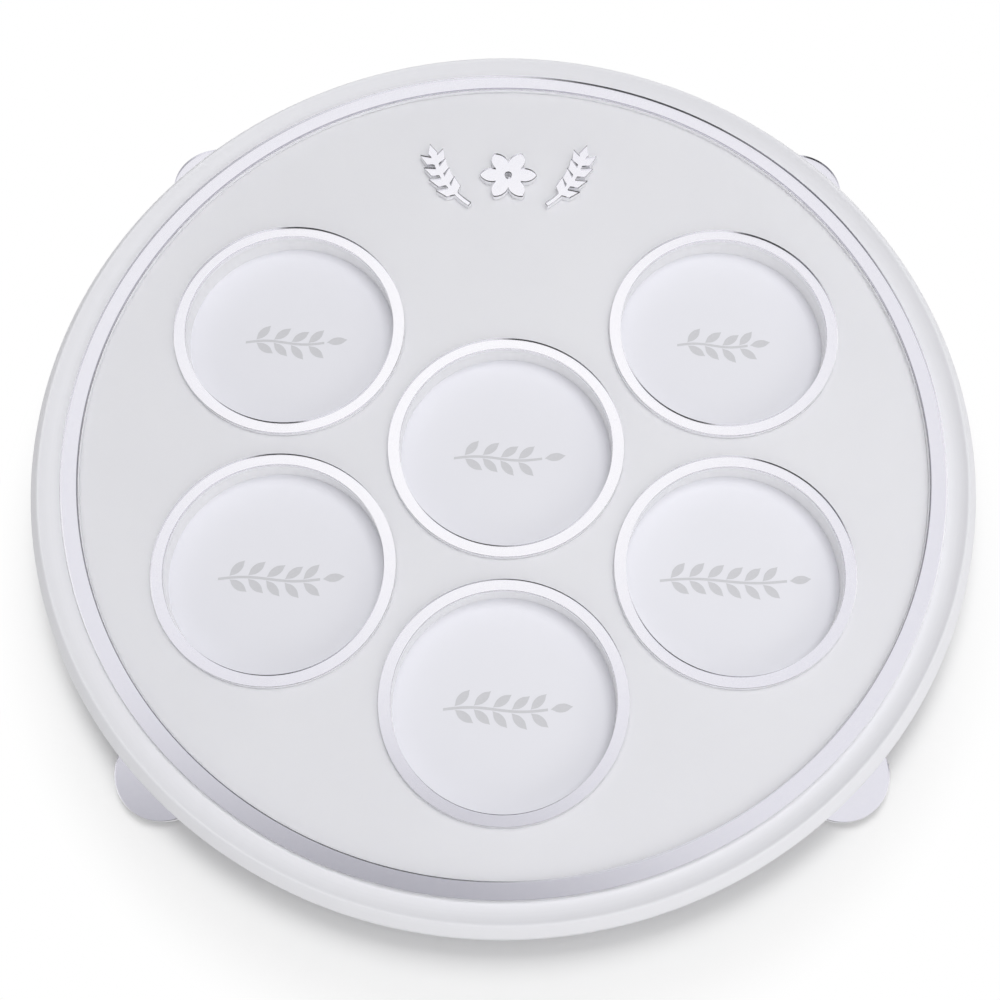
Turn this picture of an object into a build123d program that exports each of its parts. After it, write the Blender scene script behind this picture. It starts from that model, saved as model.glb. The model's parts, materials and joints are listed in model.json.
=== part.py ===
# Seder plate: a frosted acrylic disc with six round recesses, bonded to a white base disc
# and trimmed with silver mirror-acrylic rings, raised ornaments and four disc feet.
# Millimetres, +Z up. The origin is the middle of the plate, on the surface that it stands on.
# +Y points to the place of the raised ornaments, which is the top of the plate for its user.

import os
from math import cos, radians, sin

from build123d import *

# Recesses: one in the middle and five on a hexagon, whose sixth place carries the ornaments
recess_radius = 41.2
recess_ring_width = 4.3
recess_gap = 8.7  # bare plate between the middle ring and each of its neighbours
field_margin = 18.5  # bare plate between the outer recess rings and the rim ring
hexagon_places = ("upper_right", "ornaments", "upper_left", "left", "bottom", "right")
hexagon_first_angle = 30

# Rim ring and the raised lip outside it
rim_ring_width = 6.3
lip_seat = 1.0  # flat strip between the rim ring and the foot of the lip
lip_width = 7.2  # the hollow slope, from the foot of the lip to its crest
lip_height = 3.0  # crest above the field
crest_width = 0.8
bevel_width = 3.6  # the outer slope, from the crest out to the edge
bevel_drop = 5.0

# Sheets
base_thickness = 3.0
base_inset = 0.5  # the base stands back this far under the top plate's edge
top_thickness = 8.0
mirror_thickness = 3.0

# Disc feet and their pads
foot_radius = 18.3
foot_overhang = 9.7  # how far a disc shows past the plate's edge
foot_corners = ("back_right", "back_left", "front_left", "front_right")
foot_first_angle = 45
pad_side = 10.0
pad_height = 2.0
pad_draft = 15

# Raised ornaments: a rosette between two ears of wheat
ornament_setback = 42.7  # from the rim ring in to the middle of the rosette
rosette_petals = 6
rosette_petal_length = 8.6
rosette_petal_width = 6.4
rosette_eye_radius = 3.2
rosette_eye_hole = 1.5
ear_gap = 4.0  # sideways, from the rosette to the foot of the stem
ear_drop = 14.0  # foot of the stem below the middle of the rosette
ear_width = 15.0
ear_rise = 22.0
ear_bow = 2.4
stem_width = 1.8
grain_length = 8.6
grain_width = 4.0
grain_belly = 0.45  # the widest place, as a share of the length
grain_spread = 36  # angle of a side grain to the stem
grain_stations = (0.26, 0.46, 0.66, 0.86)  # places along the stem
tip_grain_station = 0.94

# Levels, from the table up
foot_bottom = pad_height
base_bottom = foot_bottom + mirror_thickness
top_bottom = base_bottom + base_thickness
field_level = top_bottom + top_thickness
crest_level = field_level + lip_height

# Radii, from the middle out
recess_ring_radius = recess_radius + recess_ring_width
recess_pitch = 2 * recess_ring_radius + recess_gap
field_radius = recess_pitch + recess_ring_radius + field_margin
rim_ring_radius = field_radius + rim_ring_width
lip_foot_radius = rim_ring_radius + lip_seat
crest_radius = lip_foot_radius + lip_width + crest_width
plate_radius = crest_radius + bevel_width
foot_pitch = plate_radius + foot_overhang - foot_radius


# Named places spread evenly on a circle, counter-clockwise
def places_on_circle(names, radius, first_angle):
    places = {}
    for step, name in enumerate(names):
        angle = radians(first_angle + 360 * step / len(names))
        places[name] = (radius * cos(angle), radius * sin(angle))
    return places


recess_places = places_on_circle(hexagon_places, recess_pitch, hexagon_first_angle)
del recess_places["ornaments"]
recess_places["centre"] = (0, 0)
foot_places = places_on_circle(foot_corners, foot_pitch, foot_first_angle)

os.makedirs("parts", exist_ok=True)


def save(part, name):
    part.label = name
    export_step(part, f"parts/{name}.step")


# White disc: the floor of every recess and the underside
with BuildPart() as base_plate:
    with BuildSketch(Plane.XY.offset(base_bottom)):
        Circle(plate_radius - base_inset)
    extrude(amount=base_thickness)
save(base_plate.part, "base_plate")

# Frosted disc: half its section is turned round Z, then the recesses are cut through
with BuildPart() as top_plate:
    with BuildSketch(Plane.XZ):
        with BuildLine():
            underside = Line((0, top_bottom), (plate_radius, top_bottom))
            wall = Line(underside @ 1, (plate_radius, crest_level - bevel_drop))
            bevel = Line(wall @ 1, (crest_radius, crest_level))
            crest = Line(bevel @ 1, (crest_radius - crest_width, crest_level))
            field = Line((0, field_level), (lip_foot_radius, field_level))
            TangentArc(field @ 1, crest @ 1, tangent=field % 1)
            Line(field @ 0, underside @ 0)
        make_face()
    revolve(axis=Axis.Z)
    with BuildSketch(Plane.XY.offset(top_bottom)):
        with Locations(*recess_places.values()):
            Circle(recess_radius)
    extrude(amount=top_thickness, mode=Mode.SUBTRACT)
save(top_plate.part, "top_plate")


# Flat ring of mirror sheet, bonded to the field
def mirror_ring(centre, inner_radius, width):
    with BuildPart() as ring:
        with BuildSketch(Plane.XY.offset(field_level)):
            with Locations(centre):
                Circle(inner_radius + width)
                Circle(inner_radius, mode=Mode.SUBTRACT)
        extrude(amount=mirror_thickness)
    return ring.part


save(mirror_ring((0, 0), field_radius, rim_ring_width), "rim_ring")
for place, centre in recess_places.items():
    save(mirror_ring(centre, recess_radius, recess_ring_width), f"ring_{place}")


rosette_radius = rosette_eye_radius + rosette_petal_length
petal_reach = rosette_radius - rosette_eye_radius / 2
ornament_plane = Plane((0, field_radius - ornament_setback, field_level))

# Lens-shaped petal, its root on the origin and its tip on +X
with BuildSketch() as petal:
    with BuildLine():
        upper_edge = ThreePointArc((0, 0), (petal_reach / 2, rosette_petal_width / 2), (petal_reach, 0))
        mirror(upper_edge, about=Plane.XZ)
    make_face()

# Rosette: petals round a pierced eye
with BuildPart() as rosette:
    with BuildSketch(ornament_plane):
        Circle(rosette_eye_radius)
        with PolarLocations(rosette_eye_radius / 2, rosette_petals):
            add(petal.sketch)
        Circle(rosette_eye_hole, mode=Mode.SUBTRACT)
    extrude(amount=mirror_thickness)
save(rosette.part, "ornament_centre")

# Kite-shaped grain, its root on the origin and its tip on +X
with BuildSketch() as grain:
    with BuildLine():
        belly = grain_length * grain_belly
        side_edge = Polyline((0, 0), (belly, grain_width / 2), (grain_length, 0))
        mirror(side_edge, about=Plane.XZ)
    make_face()

# Ear of wheat on the right: a bowed stem with pairs of grains and one at the tip
with BuildPart() as right_ear:
    with BuildSketch(ornament_plane):
        with BuildLine():
            stem_foot = Vector(rosette_radius + ear_gap, -ear_drop)
            stem = SagittaArc(stem_foot, stem_foot + (ear_width, ear_rise), -ear_bow)
        trace(line_width=stem_width)
        for station in grain_stations:
            for turn in (-grain_spread, grain_spread):
                with Locations(Location(stem @ station, stem.tangent_angle_at(station) + turn)):
                    add(grain.sketch)
        tip_heading = stem.tangent_angle_at(tip_grain_station)
        with Locations(Location(stem @ tip_grain_station, tip_heading)):
            add(grain.sketch)
    extrude(amount=mirror_thickness)
save(right_ear.part, "ornament_right")

# Ear of wheat on the left, its mirror image
with BuildPart() as left_ear:
    mirror(right_ear.part, about=Plane.YZ)
save(left_ear.part, "ornament_left")

# Disc feet under the base, and the pads that they stand on
for corner, centre in foot_places.items():
    with BuildPart() as foot:
        with BuildSketch(Plane.XY.offset(foot_bottom)):
            with Locations(centre):
                Circle(foot_radius)
        extrude(amount=mirror_thickness)
    save(foot.part, f"foot_{corner}")

    with BuildPart() as pad:
        with BuildSketch(Plane.XY.offset(pad_height)):
            with Locations(centre):
                Rectangle(pad_side, pad_side)
        extrude(amount=-pad_height, taper=pad_draft)
    save(pad.part, f"pad_{corner}")
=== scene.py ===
import json
import math

import bpy
from mathutils import Matrix, Vector

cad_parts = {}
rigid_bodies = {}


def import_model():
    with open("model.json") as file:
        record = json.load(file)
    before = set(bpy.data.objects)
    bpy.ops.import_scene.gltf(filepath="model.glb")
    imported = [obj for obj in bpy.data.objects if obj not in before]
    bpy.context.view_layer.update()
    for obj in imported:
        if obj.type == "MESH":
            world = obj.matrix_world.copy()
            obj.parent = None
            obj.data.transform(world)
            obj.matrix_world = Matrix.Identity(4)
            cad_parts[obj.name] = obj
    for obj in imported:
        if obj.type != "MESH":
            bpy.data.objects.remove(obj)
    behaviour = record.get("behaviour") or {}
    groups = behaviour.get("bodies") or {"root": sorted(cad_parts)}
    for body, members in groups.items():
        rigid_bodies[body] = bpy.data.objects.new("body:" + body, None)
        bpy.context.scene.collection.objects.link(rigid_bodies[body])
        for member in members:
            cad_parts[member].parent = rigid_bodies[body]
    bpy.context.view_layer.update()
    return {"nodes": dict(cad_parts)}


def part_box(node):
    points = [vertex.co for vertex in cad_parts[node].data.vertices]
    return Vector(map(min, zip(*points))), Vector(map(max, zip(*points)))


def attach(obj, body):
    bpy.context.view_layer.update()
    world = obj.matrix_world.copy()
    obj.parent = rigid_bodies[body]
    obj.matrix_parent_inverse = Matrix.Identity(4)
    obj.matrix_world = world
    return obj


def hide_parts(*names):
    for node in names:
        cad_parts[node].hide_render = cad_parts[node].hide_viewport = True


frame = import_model()
nodes = frame["nodes"]
mm = 0.001
print("frame loaded with", len(nodes), "nodes")


# sRGB hex to the linear colour that the sockets take
def linear(hexColour):
    parts = [int(hexColour[i:i + 2], 16) / 255 for i in (0, 2, 4)]
    return [c / 12.92 if c <= 0.04045 else ((c + 0.055) / 1.055) ** 2.4 for c in parts] + [1.0]


# noise scale for a grain of this size: Object coordinates are in metres
def perGrain(sizeMm):
    return 1 / (sizeMm * mm)


# one node with its settings, and its links as {socket: (node, output)}
def addNode(tree, kind, settings=None, links=None):
    node = tree.nodes.new(kind)
    for name, value in (settings or {}).items():
        if isinstance(name, int) or name in node.inputs:
            node.inputs[name].default_value = value
        else:
            setattr(node, name, value)
    for name, (source, output) in (links or {}).items():
        tree.links.new(source.outputs[output], node.inputs[name])
    return node


# a material with its shader's fixed values set on the shader itself
def startMaterial(name, fixed):
    material = bpy.data.materials.new(name)
    material.use_nodes = True
    tree = material.node_tree
    shader = tree.nodes["Principled BSDF"]
    for socket, value in fixed.items():
        shader.inputs[socket].default_value = value
    place = addNode(tree, "ShaderNodeTexCoord")
    return material, tree, shader, place


# two-tone colour and a band of roughness, both driven by one noise
def mottle(tree, shader, noise, tones, roughness):
    tone = addNode(tree, "ShaderNodeMix", {"data_type": "RGBA", 6: linear(tones[0]), 7: linear(tones[1])},
                   {0: (noise, "Fac")})
    rough = addNode(tree, "ShaderNodeMapRange", {"To Min": roughness[0], "To Max": roughness[1]},
                    {"Value": (noise, "Fac")})
    tree.links.new(tone.outputs[2], shader.inputs["Base Color"])
    tree.links.new(rough.outputs["Result"], shader.inputs["Roughness"])


acrylicIor = 1.49

# cast acrylic, sandblasted: milky white and satin, with a fine even pitting,
# and light sinks a few millimetres into it
frosted = {"tones": ("EAEAEE", "F0F0F4"), "roughness": (0.38, 0.46), "cloud": 70.0, "sink": 3.0,
           "pit": 0.8, "pitDepth": 0.02, "bump": 0.25}   # real pits are near 0.1 mm, drawn coarser to show
milky = {"IOR": acrylicIor, "Subsurface Weight": 1.0, "Subsurface Radius": (1, 1, 1),
         "Subsurface Scale": frosted["sink"] * mm}
frostedAcrylic, tree, shader, place = startMaterial("frosted_acrylic_sandblasted", milky)
cloud = addNode(tree, "ShaderNodeTexNoise", {"Scale": perGrain(frosted["cloud"]), "Detail": 3.0},
                {"Vector": (place, "Object")})
pits = addNode(tree, "ShaderNodeTexNoise", {"Scale": perGrain(frosted["pit"]), "Detail": 2.0},
               {"Vector": (place, "Object")})
mottle(tree, shader, cloud, frosted["tones"], frosted["roughness"])
relief = addNode(tree, "ShaderNodeBump", {"Strength": frosted["bump"], "Distance": frosted["pitDepth"] * mm},
                 {"Height": (pits, "Fac")})
tree.links.new(relief.outputs["Normal"], shader.inputs["Normal"])

# the same sheet where a laser cut it: glossy, with faint upright striations,
# and painted lighter than the sheet: painted light, standing in for the light that comes through it
cutWall = {"tones": ("F7F7F9", "FDFDFE"), "roughness": (0.12, 0.25), "stripe": 1.6, "stretch": 0.06,
           "depth": 0.03, "bump": 0.3}
cutAcrylic, tree, shader, place = startMaterial("frosted_acrylic_laser_cut", {"IOR": acrylicIor})
upright = addNode(tree, "ShaderNodeMapping", {"Scale": (1, 1, cutWall["stretch"])},
                  {"Vector": (place, "Object")})
stripes = addNode(tree, "ShaderNodeTexNoise", {"Scale": perGrain(cutWall["stripe"]), "Detail": 2.0},
                  {"Vector": (upright, "Vector")})
mottle(tree, shader, stripes, cutWall["tones"], cutWall["roughness"])
relief = addNode(tree, "ShaderNodeBump", {"Strength": cutWall["bump"], "Distance": cutWall["depth"] * mm},
                 {"Height": (stripes, "Fac")})
tree.links.new(relief.outputs["Normal"], shader.inputs["Normal"])

# and where a lathe turned its lip: satin, with faint rings of tool marks
turned = {"tones": ("EBEBEF", "EFEFF3"), "roughness": (0.38, 0.46), "ring": 0.9, "depth": 0.01, "bump": 0.2}
turnedAcrylic, tree, shader, place = startMaterial("frosted_acrylic_lathe_turned", {"IOR": acrylicIor})
flattened = addNode(tree, "ShaderNodeMapping", {"Scale": (1, 1, 0)}, {"Vector": (place, "Object")})
outwards = addNode(tree, "ShaderNodeVectorMath", {"operation": "LENGTH"}, {0: (flattened, "Vector")})
marks = addNode(tree, "ShaderNodeTexNoise",
                {"noise_dimensions": "1D", "Scale": perGrain(turned["ring"]), "Detail": 2.0},
                {"W": (outwards, "Value")})
mottle(tree, shader, marks, turned["tones"], turned["roughness"])
relief = addNode(tree, "ShaderNodeBump", {"Strength": turned["bump"], "Distance": turned["depth"] * mm},
                 {"Height": (marks, "Fac")})
tree.links.new(relief.outputs["Normal"], shader.inputs["Normal"])

# opal white cast acrylic: smooth, with a soft gloss, a shade cooler than the frosted sheet
opal = {"tones": ("EAEAF0", "EEEEF4"), "roughness": (0.3, 0.38), "cloud": 45.0}
whiteAcrylic, tree, shader, place = startMaterial("white_acrylic_cast", {"IOR": acrylicIor})
cloud = addNode(tree, "ShaderNodeTexNoise", {"Scale": perGrain(opal["cloud"]), "Detail": 2.0},
                {"Vector": (place, "Object")})
mottle(tree, shader, cloud, opal["tones"], opal["roughness"])

# clear cast acrylic, the front ply of mirror sheet: no colour of its own, polished, with faint wipe marks
clear = {"tones": ("FBFBFD", "FFFFFF"), "roughness": (0.0, 0.03), "wipe": 2.5}
clearAcrylic, tree, shader, place = startMaterial("clear_acrylic_polished",
                                                  {"IOR": acrylicIor, "Transmission Weight": 1.0})
wipe = addNode(tree, "ShaderNodeTexNoise", {"Scale": perGrain(clear["wipe"]), "Detail": 3.0},
               {"Vector": (place, "Object")})
mottle(tree, shader, wipe, clear["tones"], clear["roughness"])

# vacuum-metallised silver behind the clear ply: a bright mirror with a very fine grain
silver = {"tones": ("F4F3F7", "FAF9FC"), "roughness": (0.05, 0.16), "grain": 0.7}   # drawn coarser, to show
silverFilm, tree, shader, place = startMaterial("silver_film_metallised", {"Metallic": 1.0})
grain = addNode(tree, "ShaderNodeTexNoise", {"Scale": perGrain(silver["grain"]), "Detail": 2.0},
                {"Vector": (place, "Object")})
mottle(tree, shader, grain, silver["tones"], silver["roughness"])

# white back ply of the mirror sheet: matte from the cut and slightly uneven,
# with a faint painted glow (emission) on its faces that stands in for light carried inside the sheet
backPly = {"tones": ("EDEDF1", "F5F5F8"), "roughness": (0.5, 0.7), "peel": 1.5, "paintedGlow": 0.06}
whitePly, tree, shader, place = startMaterial("white_acrylic_back_ply",
                                              {"IOR": acrylicIor, "Emission Strength": backPly["paintedGlow"]})
peel = addNode(tree, "ShaderNodeTexNoise", {"Scale": perGrain(backPly["peel"]), "Detail": 2.0},
               {"Vector": (place, "Object")})
mottle(tree, shader, peel, backPly["tones"], backPly["roughness"])

# screen-printed ink: flat light grey with a faint mesh mottle
ink = {"tones": ("CFCFD3", "D7D7DB"), "roughness": (0.4, 0.55), "mesh": 0.8}
greyInk, tree, shader, place = startMaterial("grey_ink_screen_printed", {})
weave = addNode(tree, "ShaderNodeTexNoise", {"Scale": perGrain(ink["mesh"]), "Detail": 1.0},
                {"Vector": (place, "Object")})
mottle(tree, shader, weave, ink["tones"], ink["roughness"])

# moulded clear polyurethane: soft, cloudy and slightly tacky
bumper = {"tones": ("E4E6E8", "F0F1F2"), "roughness": (0.3, 0.45), "cloud": 3.0, "ior": 1.5, "clear": 0.7}
clearRubber, tree, shader, place = startMaterial("clear_polyurethane_moulded",
                                                 {"IOR": bumper["ior"],
                                                  "Transmission Weight": bumper["clear"]})
cloud = addNode(tree, "ShaderNodeTexNoise", {"Scale": perGrain(bumper["cloud"]), "Detail": 2.0},
                {"Vector": (place, "Object")})
mottle(tree, shader, cloud, bumper["tones"], bumper["roughness"])
print("materials ready:", len(bpy.data.materials))


# deselect everything, so that an operator acts on the new piece alone
def clearSelection():
    bpy.ops.object.select_all(action="DESELECT")


# a modifier with its settings, applied at once
def applyModifier(piece, kind, settings):
    modifier = piece.modifiers.new(kind.title(), kind)
    for name, value in settings.items():
        setattr(modifier, name, value)
    bpy.context.view_layer.objects.active = piece
    bpy.ops.object.modifier_apply(modifier=modifier.name)


smoothAngle = math.radians(18)   # faces that meet at less than this are shaded as one


# name, materials, smooth faces, place in the mesh, riding on the one body
def settle(piece, name, slotName, *materials):
    piece.name = name
    piece.data.name = name
    clearSelection()
    piece.select_set(True)
    bpy.context.view_layer.objects.active = piece
    bpy.ops.object.transform_apply(location=True, rotation=True, scale=True)
    bpy.ops.object.shade_smooth_by_angle(angle=smoothAngle)
    piece.data.materials.clear()
    for material in materials:
        piece.data.materials.append(material)
    piece.visible_shadow = clearAcrylic not in materials   # clear sheet lets the light through
    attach(piece, "root")


# a copy with its own mesh, moved in the mesh
def copyTo(piece, name, slotName, shift, *materials):
    copy = bpy.data.objects.new(name, piece.data.copy())
    bpy.context.scene.collection.objects.link(copy)
    copy.data.transform(Matrix.Translation(shift))
    settle(copy, name, slotName, *materials)
    return copy


# middle of a node, seen from above
def middle(nodeName):
    low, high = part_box(nodeName)
    return Vector(((low.x + high.x) / 2, (low.y + high.y) / 2, 0))


recessNames = ("centre", "upper_right", "upper_left", "left", "bottom", "right")
recessMiddles = {name: middle("ring_" + name) for name in recessNames}
corners = ("back_right", "back_left", "front_left", "front_right")

# frosted top plate: a disc grown upwards ring by ring, hollowed inside its lip,
# and cut through by the recesses
plate = {"segments": 256, "radius": 182.6, "underside": 8.0, "wallTop": 14.0, "crestRadius": 179.0,
         "crestLevel": 19.0, "crestWidth": 0.8, "lipFoot": 171.0, "field": 16.0, "lipSteps": 12,
         "edgeRound": 0.4, "roundSteps": 3, "sharpAngle": 25, "recessRadius": 41.2, "recessSegments": 192,
         "drumDepth": 40.0, "wallReach": 41.6}   # the reach is just past a recess's wall
lipTop = plate["crestRadius"] - plate["crestWidth"]
lipRun = lipTop - plate["lipFoot"]
lipRise = plate["crestLevel"] - plate["field"]
lipRadius = (lipRun ** 2 + lipRise ** 2) / (2 * lipRise)
lipSweep = math.asin(lipRun / lipRadius)
steps = [(plate["radius"], plate["wallTop"]), (plate["crestRadius"], plate["crestLevel"]),
         (lipTop, plate["crestLevel"])]
for step in range(plate["lipSteps"] - 1, -1, -1):
    turn = lipSweep * step / plate["lipSteps"]
    steps.append((plate["lipFoot"] + lipRadius * math.sin(turn),
                  plate["field"] + lipRadius * (1 - math.cos(turn))))

clearSelection()
bpy.ops.mesh.primitive_circle_add(vertices=plate["segments"], radius=plate["radius"] * mm, fill_type="NGON",
                                  location=(0, 0, plate["underside"] * mm))
topPlate = bpy.context.active_object
bpy.ops.object.transform_apply(location=True)
bpy.ops.object.mode_set(mode="EDIT")
bpy.ops.mesh.select_all(action="SELECT")
radius, level = plate["radius"], plate["underside"]
for nextRadius, nextLevel in steps:
    bpy.ops.mesh.extrude_region_move(TRANSFORM_OT_translate={"value": (0, 0, (nextLevel - level) * mm)})
    scale = nextRadius / radius
    bpy.ops.transform.resize(value=(scale, scale, 1), center_override=(0, 0, 0))
    radius, level = nextRadius, nextLevel
bpy.ops.mesh.select_all(action="SELECT")
bpy.ops.mesh.normals_make_consistent(inside=False)
bpy.ops.object.mode_set(mode="OBJECT")
applyModifier(topPlate, "BEVEL", {"width": plate["edgeRound"] * mm, "segments": plate["roundSteps"],
                                  "limit_method": "ANGLE", "angle_limit": math.radians(plate["sharpAngle"])})

# one cutter with a drum for every recess
clearSelection()
for centre in recessMiddles.values():
    bpy.ops.mesh.primitive_cylinder_add(vertices=plate["recessSegments"], radius=plate["recessRadius"] * mm,
                                        depth=plate["drumDepth"] * mm, location=centre)
    bpy.context.active_object.name = "recess_drum"
for drum in bpy.data.objects:
    if drum.name.startswith("recess_drum"):
        drum.select_set(True)
bpy.ops.object.join()
cutter = bpy.context.active_object
applyModifier(topPlate, "BOOLEAN", {"operation": "DIFFERENCE", "object": cutter, "solver": "EXACT"})
bpy.data.objects.remove(cutter)
settle(topPlate, "top_plate_frosted", "frosted_acrylic", frostedAcrylic, cutAcrylic, turnedAcrylic)
cutSlot, turnedSlot = 1, 2   # places of these two among its materials
for face in topPlate.data.polygons:
    steep = abs(face.normal.z) < 0.1
    if face.center.xy.length > plate["lipFoot"] * mm:
        face.material_index = turnedSlot
    for centre in recessMiddles.values():
        if steep and (face.center - centre).xy.length < plate["wallReach"] * mm:
            face.material_index = cutSlot
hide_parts("top_plate")
print("top plate done:", len(topPlate.data.polygons), "faces")


# raise the mesh in hand to a closed body this high, in metres, with its faces turned outwards
def raiseBody(height):
    bpy.ops.mesh.select_all(action="SELECT")
    bpy.ops.mesh.extrude_region_move(TRANSFORM_OT_translate={"value": (0, 0, height)})
    bpy.ops.mesh.select_all(action="SELECT")
    bpy.ops.mesh.normals_make_consistent(inside=False)


# flat ring: a circle's edges drawn inwards, then raised to the thickness
def modelRing(outer, inner, bottom, top, segments):
    clearSelection()
    bpy.ops.mesh.primitive_circle_add(vertices=segments, radius=outer * mm, fill_type="NOTHING",
                                      location=(0, 0, bottom * mm))
    ring = bpy.context.active_object
    bpy.ops.object.transform_apply(location=True)
    bpy.ops.object.mode_set(mode="EDIT")
    bpy.ops.mesh.select_all(action="SELECT")
    bpy.ops.mesh.extrude_edges_move()
    bpy.ops.transform.resize(value=(inner / outer, inner / outer, 1), center_override=(0, 0, 0))
    raiseBody((top - bottom) * mm)
    bpy.ops.mesh.select_mode(type="EDGE")
    bpy.ops.mesh.select_all(action="DESELECT")
    bpy.ops.object.mode_set(mode="OBJECT")
    return ring


# flat disc: a filled circle raised to the thickness
def modelDisc(radius, bottom, top, segments):
    clearSelection()
    bpy.ops.mesh.primitive_circle_add(vertices=segments, radius=radius * mm, fill_type="NGON",
                                      location=(0, 0, bottom * mm))
    disc = bpy.context.active_object
    bpy.ops.object.transform_apply(location=True)
    bpy.ops.object.mode_set(mode="EDIT")
    raiseBody((top - bottom) * mm)
    bpy.ops.object.mode_set(mode="OBJECT")
    return disc


filmSlot, plySlot = 0, 1   # the order of a core's materials


# only the top of a core is silvered
def silverTop(piece):
    for face in piece.data.polygons:
        facesUp = face.normal.z > 0.5
        face.material_index = filmSlot if facesUp else plySlot


# mirror sheet is a clear front ply on a white one silvered on top,
# so each piece is a clear body with a core in it
core = {"lift": 0.05, "thickness": 1.85, "proud": 0.03}
sheet = {"bottom": 16.0, "top": 19.0}
rim = {"outer": 170.0, "inner": 163.7, "segments": 320, "eased": 0.3, "slack": 0.1}
trim = {"outer": 45.5, "inner": 41.2, "segments": 192}
coreBottom = sheet["bottom"] + core["lift"]
coreTop = coreBottom + core["thickness"]

rimRing = modelRing(rim["outer"], rim["inner"], sheet["bottom"], sheet["top"], rim["segments"])
easedLevel = (sheet["top"] - rim["slack"]) * mm
easedReach = (rim["inner"] + rim["slack"]) * mm
for edge in rimRing.data.edges:
    ends = [rimRing.data.vertices[index].co for index in edge.vertices]
    edge.select = all(end.z > easedLevel and end.xy.length < easedReach for end in ends)
bpy.ops.object.mode_set(mode="EDIT")
bpy.ops.mesh.bevel(offset=rim["eased"] * mm, segments=1, affect="EDGES")   # its inner edge is eased by hand
bpy.ops.object.mode_set(mode="OBJECT")
settle(rimRing, "rim_ring_clear", "silver_mirror", clearAcrylic)
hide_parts("rim_ring")
rimCore = modelRing(rim["outer"] + core["proud"], rim["inner"] - core["proud"], coreBottom, coreTop,
                    rim["segments"])
settle(rimCore, "rim_ring_core", "silver_mirror", silverFilm, whitePly)
silverTop(rimCore)

ringBody = modelRing(trim["outer"], trim["inner"], sheet["bottom"], sheet["top"], trim["segments"])
ringCore = modelRing(trim["outer"] + core["proud"], trim["inner"] - core["proud"], coreBottom, coreTop,
                     trim["segments"])
for name, centre in recessMiddles.items():
    ring = copyTo(ringBody, f"ring_{name}_clear", "silver_mirror", centre, clearAcrylic)
    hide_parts("ring_" + name)
    silverTop(copyTo(ringCore, f"ring_{name}_core", "silver_mirror", centre, silverFilm, whitePly))
bpy.data.objects.remove(ringBody)
bpy.data.objects.remove(ringCore)
print("rings done")

# disc feet, of the same sheet
foot = {"radius": 18.3, "bottom": 2.0, "top": 5.0, "segments": 128}
footBody = modelDisc(foot["radius"], foot["bottom"], foot["top"], foot["segments"])
footCore = modelDisc(foot["radius"] + core["proud"], foot["bottom"] + core["lift"],
                     foot["bottom"] + core["lift"] + core["thickness"], foot["segments"])
for corner in corners:
    centre = middle("foot_" + corner)
    disc = copyTo(footBody, f"foot_{corner}_clear", "silver_mirror", centre, clearAcrylic)
    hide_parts("foot_" + corner)
    silverTop(copyTo(footCore, f"foot_{corner}_core", "silver_mirror", centre, silverFilm, whitePly))
bpy.data.objects.remove(footBody)
bpy.data.objects.remove(footCore)
print("feet done")

# raised ornaments: merged copies of the solids, each with a core grown down from its own top face
ornament = {"clearPly": 0.75, "coreSpread": 1.003, "merge": 0.001, "slack": 0.01}
for where in ("centre", "left", "right"):
    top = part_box("ornament_" + where)[1].z
    depth = top - ornament["clearPly"] * mm - coreBottom * mm
    body = bpy.data.objects.new("body", nodes["ornament_" + where].data.copy())
    bpy.context.scene.collection.objects.link(body)
    clearSelection()
    body.select_set(True)
    bpy.context.view_layer.objects.active = body
    bpy.ops.object.mode_set(mode="EDIT")
    bpy.ops.mesh.select_mode(type="FACE")
    bpy.ops.mesh.select_all(action="SELECT")
    bpy.ops.mesh.remove_doubles(threshold=ornament["merge"] * mm)
    bpy.ops.mesh.select_all(action="DESELECT")
    bpy.ops.object.mode_set(mode="OBJECT")
    bpy.ops.mesh.customdata_custom_splitnormals_clear()   # the import's normals no longer fit the merged mesh
    bpy.ops.object.duplicate()
    coat = bpy.context.active_object
    for face in coat.data.polygons:
        face.select = face.center.z < top - ornament["slack"] * mm
    bpy.ops.object.mode_set(mode="EDIT")
    bpy.ops.mesh.delete(type="FACE")
    bpy.ops.mesh.select_all(action="SELECT")
    bpy.ops.transform.resize(value=(ornament["coreSpread"], ornament["coreSpread"], 1),
                             center_override=middle("ornament_" + where))
    bpy.ops.transform.translate(value=(0, 0, -ornament["clearPly"] * mm))
    raiseBody(-depth)
    bpy.ops.object.mode_set(mode="OBJECT")
    settle(body, f"ornament_{where}_clear", "silver_mirror", clearAcrylic)
    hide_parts("ornament_" + where)
    settle(coat, f"ornament_{where}_core", "silver_mirror", silverFilm, whitePly)
    silverTop(coat)
print("ornaments done")

# printed twigs on the recess floors: one leaf is modelled, and set in pairs along a waving stem
twig = {"leafLength": 8.4, "leafWidth": 3.3, "spread": 42, "pitch": 7.0, "stemWidth": 1.0, "wave": 0.8,
        "gap": 1.0, "ink": 0.05, "floor": 8.0, "shift": (1.0, -1.5), "leafSteps": 6, "stemCuts": 31}
twigLengths = {"centre": 43, "upper_right": 37, "upper_left": 40, "left": 47, "bottom": 47, "right": 57}

clearSelection()
bpy.ops.curve.primitive_bezier_circle_add(radius=0.5)   # one across, so that it scales to a leaf
leaf = bpy.context.active_object
leaf.data.dimensions = "2D"
leaf.data.fill_mode = "BOTH"
leaf.data.resolution_u = twig["leafSteps"]
for point in (leaf.data.splines[0].bezier_points[0], leaf.data.splines[0].bezier_points[2]):
    point.handle_left_type = "VECTOR"
    point.handle_right_type = "VECTOR"
bpy.ops.object.convert(target="MESH")
leaf = bpy.context.active_object
leaf.data.transform(Matrix.Diagonal((twig["leafLength"] * mm, twig["leafWidth"] * mm, 1, 1)))
leafMiddle = twig["leafLength"] / 2 + twig["gap"]   # its root stands clear of the stem
leaf.data.transform(Matrix.Translation((leafMiddle * mm, 0, 0)))

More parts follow.
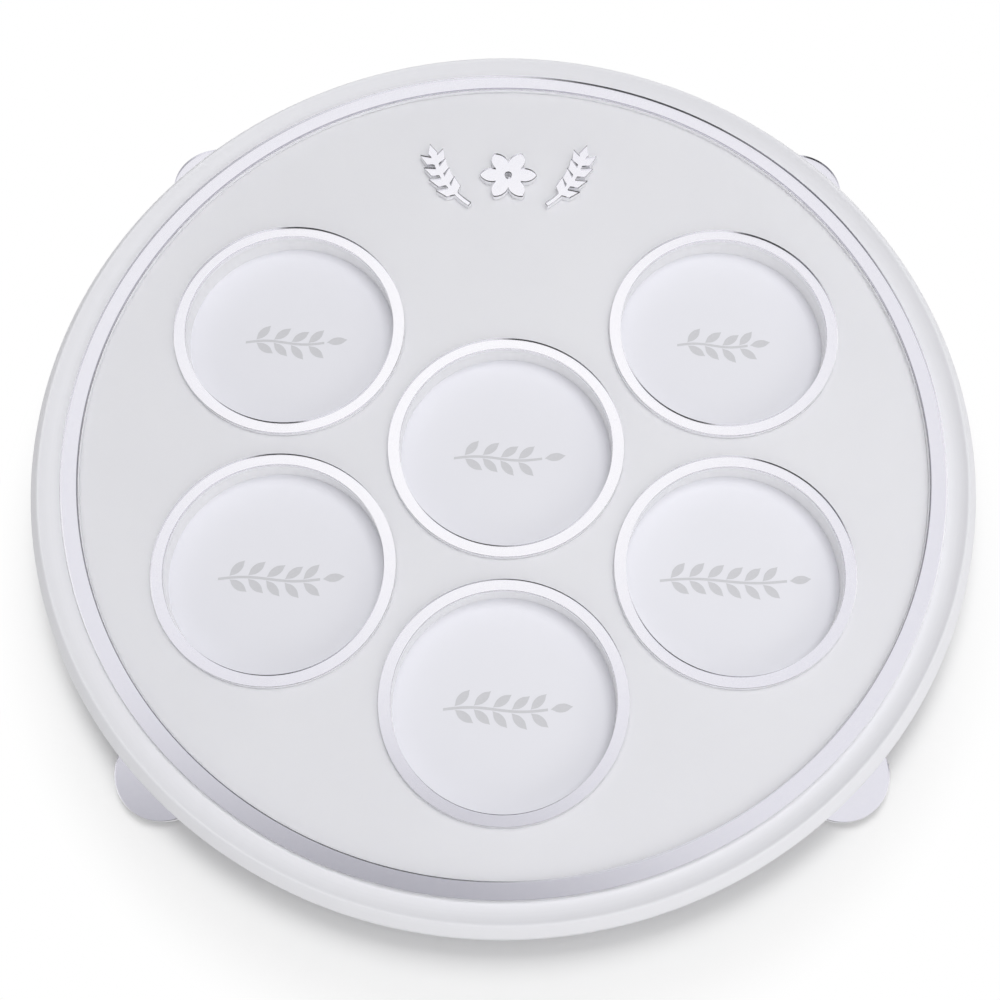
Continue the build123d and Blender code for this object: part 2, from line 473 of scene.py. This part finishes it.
for name, length in twigLengths.items():
    stemLength = length - twig["leafLength"]
    start = -length / 2
    clearSelection()
    bpy.ops.mesh.primitive_plane_add(size=1)
    stem = bpy.context.active_object
    stem.data.transform(Matrix.Diagonal((stemLength * mm, twig["stemWidth"] * mm, 1, 1)))
    stem.data.transform(Matrix.Translation(((start + stemLength / 2) * mm, 0, 0)))
    bpy.ops.object.mode_set(mode="EDIT")
    bpy.ops.mesh.select_all(action="SELECT")
    bpy.ops.mesh.subdivide(number_cuts=twig["stemCuts"])
    bpy.ops.object.mode_set(mode="OBJECT")
    turns = 2 * math.pi / (stemLength * mm)
    for vertex in stem.data.vertices:
        vertex.co.y += twig["wave"] * mm * math.sin(turns * (vertex.co.x - start * mm))
    pairs = int(stemLength / twig["pitch"])
    spots = [(start + twig["pitch"] * (pair + 0.5), side) for pair in range(pairs) for side in (-1, 1)]
    spots.append((start + stemLength, 0))
    clearSelection()
    for reach, side in spots:
        x = reach * mm
        y = twig["wave"] * mm * math.sin(turns * (x - start * mm))
        slope = math.atan(twig["wave"] * mm * turns * math.cos(turns * (x - start * mm)))
        blade = bpy.data.objects.new("blade", leaf.data.copy())
        bpy.context.scene.collection.objects.link(blade)
        blade.data.transform(Matrix.Rotation(slope + side * math.radians(twig["spread"]), 4, "Z"))
        blade.data.transform(Matrix.Translation((x, y, 0)))
        blade.select_set(True)
    stem.select_set(True)
    bpy.context.view_layer.objects.active = stem
    bpy.ops.object.join()
    bpy.ops.object.mode_set(mode="EDIT")
    raiseBody(twig["ink"] * mm)
    bpy.ops.object.mode_set(mode="OBJECT")
    sideways, along = twig["shift"]
    centre = recessMiddles[name]
    spot = Vector((centre.x + sideways * mm, centre.y + along * mm, twig["floor"] * mm))
    stem.data.transform(Matrix.Translation(spot))
    settle(stem, f"print_{name}", "white_acrylic", greyInk)
bpy.data.objects.remove(leaf)
print("prints done")

# the solids that keep their own meshes
for corner in corners:
    pad = nodes["pad_" + corner]
    pad.data.materials.clear()
    pad.data.materials.append(clearRubber)
nodes["base_plate"].data.materials.clear()
nodes["base_plate"].data.materials.append(whiteAcrylic)

# pale studio floor: white paper that keeps the soft shadow and fades to plain white away from the plate
studio = {"floorSize": 6.0, "floorLevel": -0.0001, "tones": ("FDFDFD", "FFFFFF"), "roughness": (0.8, 0.9),
          "fibre": 40.0, "fade": (0.165, 0.2), "fadeMiddle": (0.0, -0.03, 0.0)}   # metres, the fibre in mm
clearSelection()
bpy.ops.mesh.primitive_plane_add(size=studio["floorSize"], location=(0, 0, studio["floorLevel"]))
floor = bpy.context.active_object
floor.name = "studio_floor"
paper, tree, shader, place = startMaterial("studio_paper", {"Specular IOR Level": 0.0})
fibre = addNode(tree, "ShaderNodeTexNoise", {"Scale": perGrain(studio["fibre"])},
                {"Vector": (place, "Object")})
mottle(tree, shader, fibre, studio["tones"], studio["roughness"])
path = addNode(tree, "ShaderNodeLightPath")
away = addNode(tree, "ShaderNodeVectorMath", {"operation": "DISTANCE", 1: studio["fadeMiddle"]},
               {0: (place, "Object")})
near, far = studio["fade"]
fade = addNode(tree, "ShaderNodeMapRange", {"interpolation_type": "SMOOTHSTEP", "From Min": near,
                                            "From Max": far}, {"Value": (away, "Value")})
seen = addNode(tree, "ShaderNodeMath", {"operation": "MULTIPLY"},
               {0: (path, "Is Camera Ray"), 1: (fade, "Result")})
white = addNode(tree, "ShaderNodeEmission", {"Strength": 1.0})
both = addNode(tree, "ShaderNodeMixShader", {}, {0: (seen, 0), 1: (shader, 0), 2: (white, 0)})
tree.links.new(both.outputs[0], tree.nodes["Material Output"].inputs["Surface"])
floor.data.materials.append(paper)

# world: white to the camera, an even fill for the light, and for mirrors a pale room,
# greyer low down and dim at its upper sides, with a gap, a stand and a bright panel
room = {"fill": 0.41, "fillTone": "FFFFFF", "walls": "EEEEF3", "sides": "4C4A56", "sidesReach": (0.26, 0.85),
        "low": "BCBCC4", "lowReach": (0.4, 0.65),   # places in it are directions
        "gap": "595966", "gapMiddle": (-0.136, -0.131, 0.953), "gapReach": (0.14, 0.364), "gapSquash": 0.5,
        "stand": "1E1C26", "standMiddle": (-0.25, -0.4, 0.882), "standReach": (0.2, 0.32), "standSquash": 1.0,
        "panel": "FFFFFF", "panelMiddle": (-0.019, 0.415, 0.91), "panelReach": (0.07, 0.28),
        "panelSquash": 0.78, "panelLight": 1.055}
world = bpy.data.worlds.new("studio_room")
bpy.context.scene.world = world
world.use_nodes = True
tree = world.node_tree
tree.nodes.clear()
path = addNode(tree, "ShaderNodeLightPath")
heading = addNode(tree, "ShaderNodeTexCoord")
edges = {}
for patch in ("gap", "stand", "panel"):
    squashed = addNode(tree, "ShaderNodeMapping", {"Scale": (room[patch + "Squash"], 1, 1)},
                       {"Vector": (heading, "Generated")})
    away = addNode(tree, "ShaderNodeVectorMath", {"operation": "DISTANCE", 1: room[patch + "Middle"]},
                   {0: (squashed, "Vector")})
    near, far = room[patch + "Reach"]
    edges[patch] = addNode(tree, "ShaderNodeMapRange", {"interpolation_type": "SMOOTHSTEP", "From Min": near,
                                                        "From Max": far}, {"Value": (away, "Value")})
axes = addNode(tree, "ShaderNodeSeparateXYZ", {}, {0: (heading, "Generated")})
offMiddle = addNode(tree, "ShaderNodeMath", {"operation": "ABSOLUTE"}, {0: (axes, "X")})
near, far = room["sidesReach"]
sides = addNode(tree, "ShaderNodeMapRange", {"interpolation_type": "SMOOTHSTEP", "From Min": near,
                                             "From Max": far}, {"Value": (offMiddle, 0)})
walls = addNode(tree, "ShaderNodeMix",
                {"data_type": "RGBA", 6: linear(room["walls"]), 7: linear(room["sides"])},
                {0: (sides, "Result")})
near, far = room["lowReach"]
height = addNode(tree, "ShaderNodeMapRange", {"interpolation_type": "SMOOTHSTEP", "From Min": near,
                                              "From Max": far}, {"Value": (axes, "Z")})
shell = addNode(tree, "ShaderNodeMix", {"data_type": "RGBA", 6: linear(room["low"])},
                {0: (height, "Result"), 7: (walls, 2)})
dim = addNode(tree, "ShaderNodeMix", {"data_type": "RGBA", 6: linear(room["gap"])},
              {0: (edges["gap"], "Result"), 7: (shell, 2)})
dark = addNode(tree, "ShaderNodeMix", {"data_type": "RGBA", 6: linear(room["stand"])},
               {0: (edges["stand"], "Result"), 7: (dim, 2)})
wallLight = addNode(tree, "ShaderNodeBackground", {}, {"Color": (dark, 2)})
panelLight = addNode(tree, "ShaderNodeBackground",
                     {"Color": linear(room["panel"]), "Strength": room["panelLight"]})
roomLight = addNode(tree, "ShaderNodeMixShader", {},
                    {0: (edges["panel"], "Result"), 1: (panelLight, 0), 2: (wallLight, 0)})
fillLight = addNode(tree, "ShaderNodeBackground",
                    {"Color": linear(room["fillTone"]), "Strength": room["fill"]})
whiteLight = addNode(tree, "ShaderNodeBackground", {"Color": linear(room["panel"])})
shiny = addNode(tree, "ShaderNodeMath", {"operation": "MAXIMUM"},
                {0: (path, "Is Glossy Ray"), 1: (path, "Is Transmission Ray")})
mirrored = addNode(tree, "ShaderNodeMixShader", {}, {0: (shiny, 0), 1: (fillLight, 0), 2: (roomLight, 0)})
shown = addNode(tree, "ShaderNodeMixShader", {},
                {0: (path, "Is Camera Ray"), 1: (mirrored, 0), 2: (whiteLight, 0)})
addNode(tree, "ShaderNodeOutputWorld", {}, {"Surface": (shown, 0)})

# a softbox above that lights only the plate, one behind that lights only the floor and draws the shadow
# forward, a weak one at the near right, and a low card in front for the recess walls; places in metres
lamps = {"softbox": {"place": (0.3, 0.12, 1.45), "size": 0.8, "power": 9.4, "floor": "EXCLUDE"},
         "backlight": {"place": (0.0, 0.63, 1.36), "size": 0.75, "power": 10.0, "floor": "INCLUDE"},
         "side_box": {"place": (0.75, -0.6, 0.8), "size": 0.7, "power": 1.9},
         "card": {"place": (-0.15, -1.2, 0.48), "size": 1.0, "power": 2.4}}
for name, lamp in lamps.items():
    clearSelection()
    bpy.ops.object.light_add(type="AREA", location=lamp["place"])
    light = bpy.context.active_object
    light.name = name
    light.data.size = lamp["size"]
    light.data.energy = lamp["power"]
    light.rotation_euler = (-Vector(lamp["place"])).to_track_quat("-Z", "Y").to_euler()
    light.visible_glossy = False
    light.visible_transmission = False
    if "floor" in lamp:   # light linking: the floor is all that this lamp lights, or what it leaves out
        linked = bpy.data.collections.new(name + "_linking")
        linked.objects.link(floor)
        linked.collection_objects[0].light_linking.link_state = lamp["floor"]
        light.light_linking.receiver_collection = linked

# camera: near and high in front, turned a little; its focal length and the frame's width are in pixels
view = {"target": (13.05, -22.86, 19.0), "distance": 548.2, "azimuth": -2.588, "elevation": 69.627,
        "roll": 2.716, "focal": 1442.2, "frame": 1000, "shift": -0.04, "sensor": 36, "clip": 0.01}
azimuth, elevation, roll = (math.radians(view[key]) for key in ("azimuth", "elevation", "roll"))
back = Vector((math.sin(azimuth) * math.cos(elevation), -math.cos(azimuth) * math.cos(elevation),
               math.sin(elevation)))
across = Vector((math.cos(azimuth), math.sin(azimuth), 0))
up = back.cross(across)
rolled = Matrix((math.cos(roll) * across + math.sin(roll) * up,
                 math.cos(roll) * up - math.sin(roll) * across, back))
bpy.ops.object.camera_add()
camera = bpy.context.active_object
camera.matrix_world = (Matrix.Translation((Vector(view["target"]) + back * view["distance"]) * mm)
                       @ rolled.transposed().to_4x4())
camera.data.sensor_width = view["sensor"]
camera.data.lens = view["focal"] / view["frame"] * view["sensor"]
camera.data.shift_x = view["shift"]
camera.data.clip_start = view["clip"]
bpy.context.scene.camera = camera
bpy.context.scene.view_settings.view_transform = "Standard"
print("studio ready")
